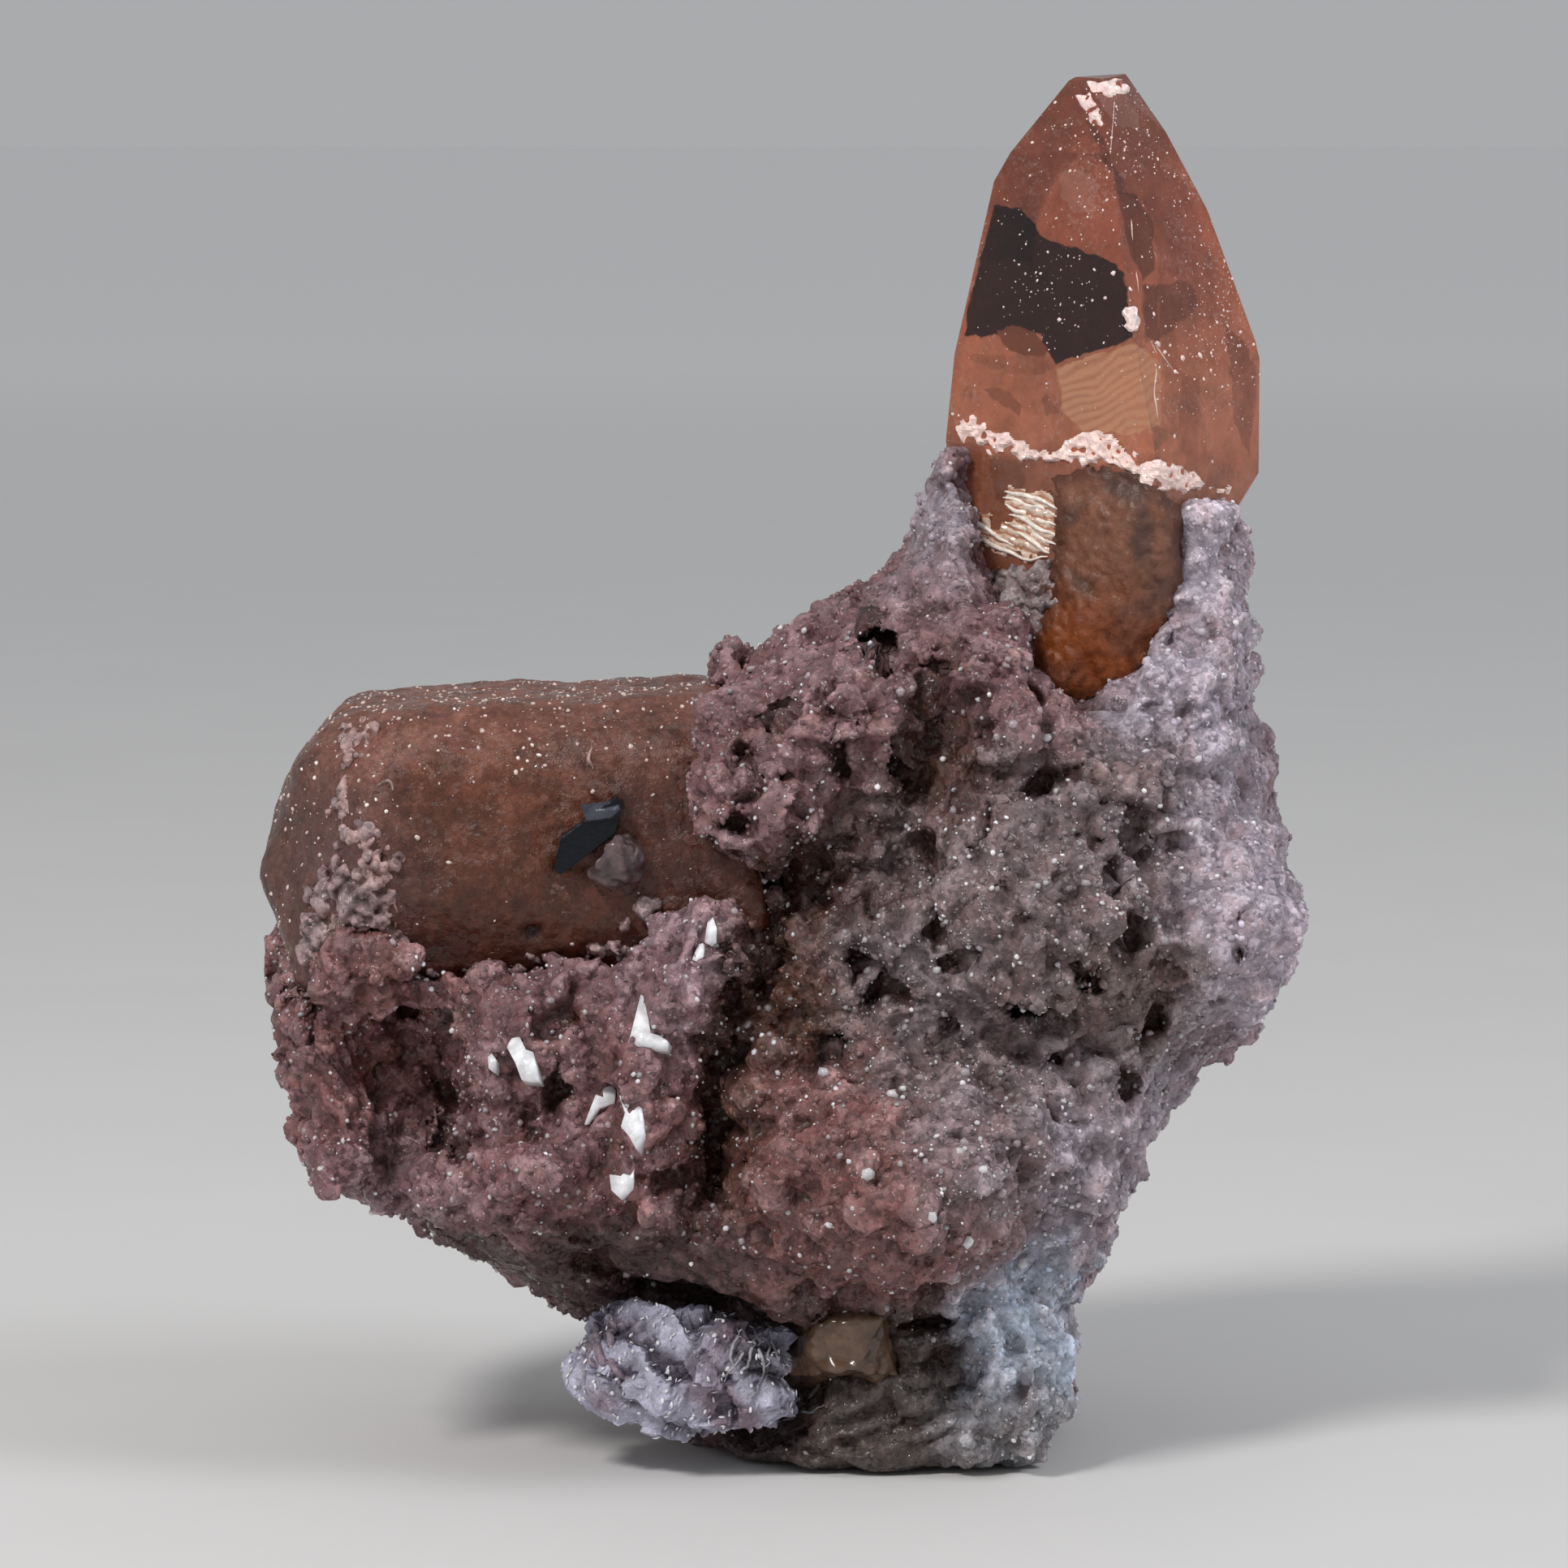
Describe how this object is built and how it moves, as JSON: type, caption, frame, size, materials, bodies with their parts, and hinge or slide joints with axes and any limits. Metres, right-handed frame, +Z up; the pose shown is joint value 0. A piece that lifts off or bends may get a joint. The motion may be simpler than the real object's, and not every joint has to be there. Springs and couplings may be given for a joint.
{
  "type": "topaz crystal specimen",
  "caption": "Rough topaz hand specimen: an upright pointed orange-brown crystal and a stout lying crystal in grainy, vuggy rock that stands on a flat-cut foot.",
  "frame": {"origin": "centre of the bounding box's bottom face, on the plane of the flat-cut foot", "axes": "+Z up along the upright crystal, +X to the right of the pictured side, -Y towards the viewer of that side"},
  "size_m": [0.0358, 0.0218, 0.0471],
  "materials": {
    "matrix": "sugary grained pink to grey rock with small vugs",
    "clear_topaz": "clear orange-brown crystal with glossy natural faces",
    "etched_topaz": "cloudy orange-brown crystal with etched, speckled faces",
    "amber_topaz": "cloudy amber grain",
    "dark_crystal": "nearly black, glossy",
    "grey_grain": "grey-white grain",
    "silvery_crust": "silvery glassy fibrous crust"
  },
  "bodies": {
    "root": {"matrix": "matrix", "upright_topaz": "clear_topaz", "left_topaz": "etched_topaz", "foot_topaz": "amber_topaz", "dark_crystal": "dark_crystal", "grey_grain": "grey_grain", "silvery_crust": "silvery_crust"}
  },
  "joints": []
}
